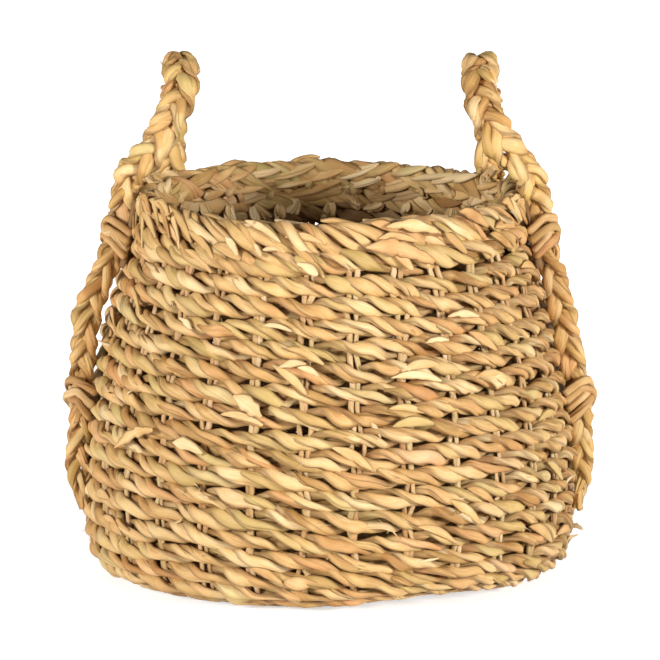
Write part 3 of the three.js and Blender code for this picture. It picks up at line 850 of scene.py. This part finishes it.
def thick_ring(piece, ring):
    """A rope of two strands round the mouth, each strand a few leaves."""
    rng = piece.rng
    angle = math.pi / 2 + np.linspace(0, 2 * math.pi * 1.004, int(2 * math.pi * MOUTH_RADIUS / SAMPLE))
    stray = 0.0008 * np.sin(4 * angle + 1) + 0.0006 * np.sin(9 * angle) + 0.0004 * drift(rng, angle, 0.3)
    stray -= RIM_DIP * np.exp(-(((angle - math.radians(260)) / 0.42) ** 2))
    course = course_on_wall(angle, OUTLINE_LENGTH - ring.drop + stray, ring.depth)
    turn = ring.twists * angle + 0.35 * drift(rng, course.along, 0.07)
    for strand in (0, 1):
        for spread in ring.spreads:
            theta = hastened(turn + math.pi * strand + spread + loose(rng, course.along, 1.7), RIM_HASTE)
            bulge = ring.bulge * (1 + 0.16 * drift(rng, course.along, 0.035))
            leaf = rope_leaf(rng, course, theta, bulge, ring.rise, 0.0, ring.half, RIM_DIVE)
            leaf = leaf._replace(look=leaf.look - (0.08, 0, 0, 0))
            piece.add(leaf)
            add_frays(piece, leaf, 0.07)
    # The core fills the middle of the rope: its tone is lowered and painted shade added, so that the gaps
    # between the leaves read as shade.
    core = rope_leaf(rng, course, turn, 0.0004, 0.0004, 0.0, (ring.bulge * 0.55, ring.rise * 0.7))
    piece.add(core._replace(look=core.look - (0.5, 0, 0, -0.3)))
    add_covers(piece, course, turn, (0, len(turn)), ring.bulge, ring.rise, 0.35)


def add_laps(piece, drop, depth, count, tone, shade, slopes, upward=0.0):
    """Leaves along the inner side of the mouth that slant the other way than its ropes; shade is painted
    shade mixed into them.
    """
    rng = piece.rng
    for number in range(count):
        length = rng.uniform(0.030, 0.050)
        share = np.linspace(0, 1, 18)
        step = length * (share - 0.5)
        run = OUTLINE_LENGTH - drop + rng.normal(0, 0.0014) - step * rng.uniform(*slopes)
        run = np.minimum(run, OUTLINE_LENGTH - 0.002)
        arch = np.sin(share * math.pi) ** 0.7
        radial, up, out, _ = on_wall(run, depth + rng.uniform(-0.0006, 0.0010) - 0.0045 * (1 - arch))
        angle = 2 * math.pi * (number + rng.uniform(-0.35, 0.35)) / count + step / 0.125
        look = (rng.normal(tone, 0.25), rng.uniform(0, 1) ** 2.6, rng.uniform(0, 0.8) ** 3, shade)
        looks = np.tile(look, (18, 1)) + 0.05 * drift(rng, step, 0.010)[:, None] * (1, 1, 1, 0)
        wide = rng.uniform(0.0034, 0.0050) * (0.12 + 0.88 * arch)
        facing = turned(-out[:, 0], upward - out[:, 1], angle)
        piece.add(Leaf(
            turned(radial, up, angle), facing, 0.0017 * (0.6 + 0.4 * arch), wide,
            0.25 + 0.2 * drift(rng, step, 0.02), rng.uniform(-0.9, 0.9) + 0 * share, looks,
        ))


def add_tuft(piece, start, inward, downward, blades, spread, length, size):
    """A fan of torn pale blades, such as the splayed end of a stake."""
    rng = piece.rng
    side = unit(np.cross(inward, downward))
    for blade in range(blades):
        share = np.linspace(0, 1, 10)
        lean = spread * ((blade + 0.5) / blades - 0.5) * 2 + rng.normal(0, 0.10)
        onward = unit(downward + lean * side)
        long = length * rng.uniform(0.7, 1.15)
        lift = rng.uniform(0.05, 0.35) * share**2
        path = start + long * (share[:, None] * onward + lift[:, None] * inward) + side * lean * 0.002
        wide = size * rng.uniform(0.0016, 0.0027) * np.sin(math.pi * (0.22 + 0.70 * share)) ** 0.8
        looks = np.tile((rng.normal(0.66, 0.14), rng.uniform(0, 0.5), rng.uniform(0, 0.2), 0.0), (10, 1))
        facing = np.tile(inward, (10, 1)) + 0.5 * rng.normal(0, 1) * side
        piece.add(Leaf(path, facing, 0.0005 + 0 * share, wide, 0.5 * share * rng.normal(), 0 * share, looks))


def add_mouth_tufts(piece):
    """Splayed stake ends inside under the rim, and torn ends between the feet of each loop."""
    rng = piece.rng
    for angle in np.radians(TUFT_DEGREES):
        angle = angle + rng.normal(0, 0.02)
        radial, up, _, _ = on_wall(np.array(OUTLINE_LENGTH - rng.uniform(0.024, 0.032)), 0.0150)
        start, inward = turned(radial, up, angle), turned(-1.0, 0.15, angle)
        low = turned(0.1, -1.0, angle) + sideways_at(angle) * rng.normal(0, 0.5)
        add_tuft(piece, start, inward, unit(low), rng.integers(4, 7), 0.30, rng.uniform(0.009, 0.015), 1.5)
    for side in (1, -1):
        for _ in range(15):
            angle = LOOP_AZIMUTH + rng.uniform(-0.24, 0.30)
            start = turned(rng.uniform(0.127, 0.135), rng.uniform(0.262, 0.270), angle)
            high = turned(0.45, 1.0, angle) + sideways_at(angle) * rng.normal(0, 0.9)
            start, outward, high = (part * (side, 1, 1) for part in (start, turned(1.0, 0.0, angle), high))
            add_tuft(piece, start, outward, unit(high), 2, 0.35, rng.uniform(0.013, 0.025), 2.2)


def make_mouth():
    """The thick ropes of the border and the rim with the loose leaves and torn ends on them."""
    border = Piece("border_twist", 31)
    thick_ring(border, BORDER_RING)
    for right, above, *shape in MARKS:
        lay_leaf(border, *seen_at(right, above), *shape)
    # Dark leaves in the gaps between rows: painted shade.
    for right, above, length in GAPS:
        lay_leaf(border, *seen_at(right, above), 0.0, length, *GAP_LEAF)
    add_mouth_strays(border, 17, (0.022, 0.034))
    # Inside the border the laps get low tones and much shade: painted shade deep in the mouth.
    add_laps(border, 0.0255, 0.0136, 29, 0.50, 0.50, (0.0, 0.30))
    add_laps(border, 0.0345, 0.0134, 21, 0.44, 0.88, (-0.12, 0.20))
    rim = Piece("rim_twist", 32)
    thick_ring(rim, RIM_RING)
    add_mouth_strays(rim, 20, (0.006, 0.020))
    for middle in (math.pi, 0.0):
        add_mouth_strays(rim, 22, (0.004, 0.021), middle - 0.40, middle + 0.70, (-1.10, -0.35))
    # Inside the rim the laps get higher tones and little shade: the raised tones are painted light near the
    # top of the inner side.
    add_laps(rim, 0.0075, 0.0134, 38, 0.66, 0.0, (0.08, 0.36), 0.7)
    add_laps(rim, 0.0165, 0.0146, 32, 0.56, 0.10, (0.08, 0.36), 0.3)
    add_mouth_tufts(rim)
    border.finish(OUTER_STRAW, nodes=["border_row"])
    rim.finish(OUTER_STRAW, nodes=["rim_rope"])


# Stakes


def make_stakes():
    """Pairs of stems from the middle of the base to the border, with cut tails along the inner side."""
    cross_turn = STAKE_STEP / 2
    run = np.arange(STEM_START_RUN, run_at(STEM_TOP), 0.003)
    wall = on_wall(run, WALL_DEPTH - BASE_RAISE * base_share(run))
    fan = eased(np.clip((run - STEM_START_RUN) / 0.030, 0, 1))
    for number in range(STAKES):
        piece = Piece(f"stake_stems_{number + 1:02d}", 300 + number)
        rng = piece.rng
        angle = (number + 0.5) * STAKE_STEP
        group = int(round((angle - cross_turn) / (math.pi / 2))) % 4
        middle = cross_turn + group * math.pi / 2
        away = (angle - middle + math.pi) % (2 * math.pi) - math.pi
        start = np.arctan2(away / STAKE_STEP * LANE_PITCH, wall[0])
        for side in (-1, 1):
            turn = middle + start + (away - start) * fan + 0.006 * drift(rng, run, 0.05)
            spread = side * 0.0022 + 0.0015 * drift(rng, run, 0.014)
            path, facing = off_wall(wall, turn, 0.0004 * drift(rng, run, 0.02))
            path = path + sideways_at(turn) * spread[:, None]
            tail = stake_tail(rng, path[-1], turn[-1], side)
            path = np.vstack([path, tail])
            facing = np.vstack([facing, np.tile(turned(1.0, 0.0, turn[-1]), (len(tail), 1))])
            stem = make_stem(rng, path, facing, 0.0021)
            flat = np.arange(len(path)) >= len(run)
            piece.add(stem._replace(wide=stem.wide * (1 + 0.3 * flat), thick=stem.thick * (1 - 0.4 * flat)))
        piece.finish(STAKE_STRAW, nodes=[f"stake_pair_{number + 1:02d}"])


def make_stem(rng, path, facing, half_width):
    """Stems are paler and more even than leaves."""
    # The tone is a little darker, and a little painted shade is mixed in where the stems sit deep in the
    # wall.
    looks = leaf_looks(rng, run_of(path), 0.02, 0.09) + np.array([-0.04, 0, 0, 0.1])
    return make_leaf(rng, path, facing, (0.0015, half_width), looks, turn_length=0.3)


def stake_tail(rng, start, turn, side):
    """From the top of a stake over to the inner side, then along it to a cut end."""
    length = rng.uniform(0.006, 0.012)
    count = int(length / 0.0020)
    share = (np.arange(count) + 1) / count
    inward = rng.uniform(0.0080, 0.0100) * np.sin(np.minimum(share * 2.5, 1) * math.pi / 2) + 0.0010 * side
    aside = length * share**1.3 * rng.uniform(-0.5, 0.9)
    drop = rng.uniform(-0.006, 0.002) * share**1.5 + 0.003 * np.sin(share * math.pi)
    radius = math.hypot(start[0], start[1])
    angle = turn + aside / (radius - 0.012)
    return turned(radius - inward, start[2] + drop + 0.001 * side, angle)


def make_base_centre():
    """Seven pairs of stems cross seven others at the middle of the base."""
    piece = Piece("base_crossing", 21)
    reach = np.arange(-0.037, 0.038, 0.0025)
    upward = np.array([0.0, 0.0, 1.0])
    facing = np.tile(upward, (len(reach), 1))
    for layer, angle in enumerate((STAKE_STEP / 2, STAKE_STEP / 2 + math.pi / 2)):
        ahead = np.array([math.cos(angle), math.sin(angle), 0])
        aside = sideways_at(np.array(angle))
        weave = 0.0017 * np.where(np.abs(reach) < STEM_START_RUN, 1 if layer else -1, 0.3)
        for lane in range(-3, 4):
            for side in (-1, 1):
                height = WALL_DEPTH + weave + 0.0002 * drift(piece.rng, reach, 0.02)
                offset = lane * LANE_PITCH + side * 0.0021
                path = reach[:, None] * ahead + offset * aside + height[:, None] * upward
                piece.add(make_stem(piece.rng, path, facing, 0.0022))
    piece.finish(STAKE_STRAW, nodes=["base_cross"])


# Handles


def catmull(points, step=0.0022):
    """Points at even steps along a smooth curve through the given points."""
    points = np.array(points, float)
    padded = np.vstack([2 * points[0] - points[1], points, 2 * points[-1] - points[-2]])
    parts = []
    for i in range(len(points) - 1):
        a, b, c, d = padded[i : i + 4]
        t = np.linspace(0, 1, 40, endpoint=False)[:, None]
        cubic = 2 * b + (c - a) * t + (2 * a - 5 * b + 4 * c - d) * t * t + (3 * b - a - 3 * c + d) * t**3
        parts.append(cubic / 2)
    dense = np.vstack(parts + [points[-1:]])
    along = run_of(dense)
    even = np.linspace(0, along[-1], int(along[-1] / step))
    return np.stack([np.interp(even, along, dense[:, i]) for i in range(3)], -1), even


def leg_point(height, angle, lift):
    return turned(*on_wall(run_at(height), -lift)[:2], np.array(angle))


def joint_point(angle):
    return turned(JOINT_RADIUS, JOINT_HEIGHT, np.array(angle))


def handle_route(near, far, bow):
    """Up the near leg, over the loop and down the far leg."""
    def leg(angle):
        return [
            leg_point(TUCK_HEIGHT, angle, 0.0010),
            leg_point(TUCK_HEIGHT + 0.026, angle, 0.0048),
            leg_point(LOWER_TIE, angle, LOWER_LEG_LIFT),
            leg_point(BOW_HEIGHT, angle, LEG_LIFT + bow),
            leg_point(UPPER_TIE, angle, LEG_LIFT + BORDER_PROUD),
            joint_point(angle),
        ]
    start, end = joint_point(near), joint_point(far)
    middle, half = (start + end) / 2, (end - start) / 2

    def loop(level, side):
        rise, span, lean, twist = level
        return [
            middle[0] + (LOOP_TOP_RADIUS - middle[0]) * lean + side * half[0] * twist,
            middle[1] + (LOOP_SET_BACK - middle[1]) * lean + side * half[1] * span,
            JOINT_HEIGHT + LOOP_RISE * rise,
        ]
    rising = [loop(level, -1) for level in LOOP_LEVELS]
    falling = [loop(level, 1) for level in reversed(LOOP_LEVELS)]
    return leg(near) + rising + [loop(LOOP_TOP, 0)] + falling + leg(far)[::-1]


def plait_size(along, rise):
    """How full the plait is along it: pinched by the ties, thin where it is tucked in, full in the loop."""
    end = np.clip(np.minimum(along, along[-1] - along) / 0.03, 0.30, 1)
    low = 0.76 + 0.12 * np.clip((rise - LOWER_TIE - 0.010) / 0.03, 0, 1)
    pinch = 0.16 * np.exp(-(((rise - UPPER_TIE) / 0.014) ** 2))
    loop = 1 + 0.22 * np.clip((rise - 0.272) / 0.04, 0, 1)
    return end * (low - pinch) * loop


def make_handle(label, mirrored, seed):
    near, far = LOOP_AZIMUTH - LOOP_HALF_ANGLE, LOOP_AZIMUTH + LOOP_HALF_ANGLE
    path, along = catmull(handle_route(near, far, BOWS[label]))
    rise = path[:, 2]
    azimuth = np.arctan2(path[:, 1], path[:, 0])
    loosened = np.clip((rise - UPPER_TIE) / (JOINT_HEIGHT - UPPER_TIE), 0, 1)
    level = np.clip((rise - JOINT_HEIGHT) / (LOOP_RISE * 0.5), 0, 1)
    across_angle = azimuth * (1 - loosened) + LOOP_AZIMUTH * loosened * (1 - level)
    ahead = ahead_of(path)
    width = square_to(turned(1.0, 0.0, across_angle), ahead)
    depth = np.cross(ahead, width)
    size = plait_size(along, rise)
    piece = Piece("handle_plait_" + label, seed)
    for strand in range(3):
        phase = 2 * math.pi * (along / PLAIT_CYCLE + strand / 3) + 0.24 * drift(piece.rng, along, 0.05)
        plait_strand(piece, path, width, depth, size, phase)
    nodes = [f"handle_loop_{label}", f"handle_leg_{label}_front", f"handle_leg_{label}_back"]
    made = piece.finish(PLAIT_STRAW, None, nodes, mirrored)
    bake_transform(made)


def plait_strand(piece, path, width, depth, size, phase):
    """Two leaves side by side that sway across the plait and turn over at its edges."""
    rng = piece.rng
    sway = PLAIT_SWAY * size * np.sin(phase) * (1 + 0.10 * drift(rng, run_of(path), 0.03))
    dive = PLAIT_DIVE * size * np.sin(2 * phase)
    centre = path + width * sway[:, None] + depth * dive[:, None]
    over = math.pi / 2 * (1 - np.tanh(2.4 * np.cos(phase)) / math.tanh(2.4))
    flat = depth * np.cos(over)[:, None] + width * np.sin(over)[:, None]
    ahead = ahead_of(centre)
    flat = square_to(flat, ahead)
    side = np.cross(ahead, flat)
    offset = PLAIT_LEAF_OFFSET * size * (1 - 0.45 * np.sin(phase) ** 4)
    along = run_of(centre)
    twist = phase + rng.uniform(0, 2 * math.pi) + 0.5 * drift(rng, along, 0.04)
    for leaf in (-1, 1):
        shift = offset * (leaf * np.cos(twist) + 0.22 * drift(rng, along, 0.03))
        lift = 0.0010 * leaf * np.sin(twist) + 0.0006 * drift(rng, along, 0.025)
        line = centre + side * shift[:, None] + flat * lift[:, None]
        made = make_leaf(rng, line, flat, PLAIT_HALF, leaf_looks(rng, along, 0.03, 0.07))
        fuller = (1 + 0.16 * drift(rng, along, 0.03)).clip(0.65, 1.4)
        made = made._replace(thick=made.thick * size.clip(0.7), wide=made.wide * size.clip(0.5) * fuller)
        piece.add(made)
        add_frays(piece, made, 0.11, 0.05)


def make_ties():
    ties = (("upper", UPPER_TIE, LEG_LIFT + BORDER_PROUD), ("lower", LOWER_TIE, LOWER_LEG_LIFT))
    for label, mirrored in (("right", False), ("left", True)):
        for end, sign in (("front", -1), ("back", 1)):
            for kind, height, lift in ties:
                piece = Piece(f"{kind}_binding_{label}_{end}", TIE_SEED + 4 * mirrored + sign)
                tie_wraps(piece, height, np.array(LOOP_AZIMUTH + sign * LOOP_HALF_ANGLE), lift)
                piece.finish(TIE_STRAW, "basket", [f"{kind}_tie_{label}_{end}"], mirrored)


def tie_wraps(piece, height, angle, lift):
    """Broad leaves that pass slantwise round a leg and end in the wall on both sides of it."""
    rng = piece.rng
    _, _, out, ahead = on_wall(run_at(height))
    outward, upward, aside = turned(*out, angle), turned(*ahead, angle), sideways_at(angle)
    centre = leg_point(height, angle, lift)
    if height > LOWER_TIE:
        fill_behind(piece, angle)
    turn = np.linspace(-0.5, 0.5, 34) * math.pi * 1.20
    past = np.clip(np.abs(turn) - 1.45, 0, 1)
    facing = np.cos(turn)[:, None] * outward + np.sin(turn)[:, None] * aside
    for wrap in range(TIE_WRAPS):
        level = (wrap - (TIE_WRAPS - 1) / 2) * 0.0034 + 0.0010 * rng.uniform(-1, 1)
        slope = (-0.66 if wrap % 2 else 0.04) + rng.uniform(-0.16, 0.16)
        broad = 0.0090 + 0.0017 * (wrap % 2) + 0.0009 * rng.uniform(-1, 1)
        deep = 0.0094 + 0.0008 * rng.uniform(-1, 1)
        reach = broad * np.cos(turn) - 0.012 * past
        spread = deep * np.sin(turn) * (1 + 0.25 * past)
        rise = level + slope * spread + TIE_SLANT * (reach - 0.004) + 0.0012 * drift(rng, turn, 0.7)
        path = centre + reach[:, None] * outward + spread[:, None] * aside + rise[:, None] * upward
        leaf = make_leaf(rng, path, facing, TIE_HALF)
        piece.add(leaf)
        add_frays(piece, leaf, 0.09, 0.35)


def fill_behind(piece, angle):
    """Leaf ends between the upper end of a leg and the rim, darkened with painted shade."""
    heights = np.linspace(UPPER_TIE - 0.020, BLEND_START - 0.001, 24)
    for aside in (-0.0055, -0.0015, 0.0025, 0.0060):
        turn = angle + aside / MOUTH_RADIUS + 0.010 * drift(piece.rng, heights, 0.02)
        wall = on_wall(run_at(heights), -0.0020 + 0.0008 * drift(piece.rng, heights, 0.02))
        leaf = make_leaf(piece.rng, *off_wall(wall, turn), (0.0022, 0.0036))
        # Painted shade: the tone is halved and the colour mixes almost fully to the painted shade colour.
        piece.add(leaf._replace(look=leaf.look * (0.5, 1, 1, 0) + (0, 0, 0, 0.95)))


# Stage, light and camera


def make_stage():
    """A white floor that glows where the camera sees it, and a white world that lights only a little."""
    side = FLOOR_HALF_SIDE
    mesh = bpy.data.meshes.new("floor")
    corners = [(x * side, y * side, 0) for x, y in ((-1, -1), (1, -1), (1, 1), (-1, 1))]
    mesh.from_pydata(corners, [], [(0, 1, 2, 3)])
    floor = in_scene("floor", mesh)
    white = bpy.data.materials.new("white_floor")
    nodes = Nodes(white)
    path = nodes.add("ShaderNodeLightPath").outputs
    place = nodes.add("ShaderNodeNewGeometry").outputs["Position"]
    back = nodes.add("ShaderNodeSeparateXYZ", {0: place}).outputs[1]
    feeds = {"Value": back, "From Min": 0.3, "From Max": 0.9, "To Min": FLOOR_GLOW, "To Max": 1.0}
    away = nodes.add("ShaderNodeMapRange", feeds).outputs[0]
    seen = path["Is Camera Ray"]
    for ray in ("Is Glossy Ray", "Is Transmission Ray"):
        seen = nodes.maths("MAXIMUM", seen, path[ray])
    nodes.feed(nodes.tree.nodes["Principled BSDF"], {
        "Base Color": (0.93, 0.93, 0.93, 1), "Roughness": 0.9, "Specular IOR Level": 0.1,
        "Emission Color": (1, 1, 1, 1), "Emission Strength": nodes.maths("MULTIPLY", seen, away),
    })
    mesh.materials.append(white)
    world = bpy.data.worlds.new("studio")
    bpy.context.scene.world = world
    nodes = Nodes(world)
    seen = nodes.add("ShaderNodeLightPath").outputs["Is Camera Ray"]
    reach = nodes.add("ShaderNodeMapRange", {"Value": seen, "To Min": WORLD_LIGHT, "To Max": 1.0})
    nodes.feed(nodes.tree.nodes["Background"], {"Color": (1, 1, 1, 1), "Strength": reach.outputs[0]})


def aim_rotation(away):
    return Vector(away.tolist()).to_track_quat("Z", "Y").to_euler()


def make_lights():
    for name, place, power in LAMPS:
        light = bpy.data.lights.new(name, "AREA")
        light.shape = "DISK"
        light.energy, light.size = power, LAMP_SIZE
        made = in_scene(name, light)
        made.location = place
        made.rotation_euler = aim_rotation(np.subtract(place, LAMP_AIM))


def make_camera():
    lens = bpy.data.cameras.new("camera")
    lens.sensor_width = 36
    lens.lens = 36 * CAMERA_DISTANCE / (PIXEL * FRAME_SIDE)
    made = in_scene("camera", lens)
    lifted = (AIM_PIXEL - FRAME_SIDE / 2) * PIXEL / math.cos(CAMERA_ELEVATION)
    aim = np.array([0, 0, AIM_HEIGHT + lifted])
    away = np.array([0, -math.cos(CAMERA_ELEVATION), math.sin(CAMERA_ELEVATION)])
    made.location = aim + away * CAMERA_DISTANCE
    made.rotation_euler = aim_rotation(away)
    bpy.context.scene.camera = made


make_camera()
make_base_centre()
make_stakes()
make_rows()
make_mouth()
make_handle("right", False, 41)
make_handle("left", True, 42)
make_ties()
make_stage()
make_lights()
bpy.context.scene.view_settings.view_transform = "Standard"
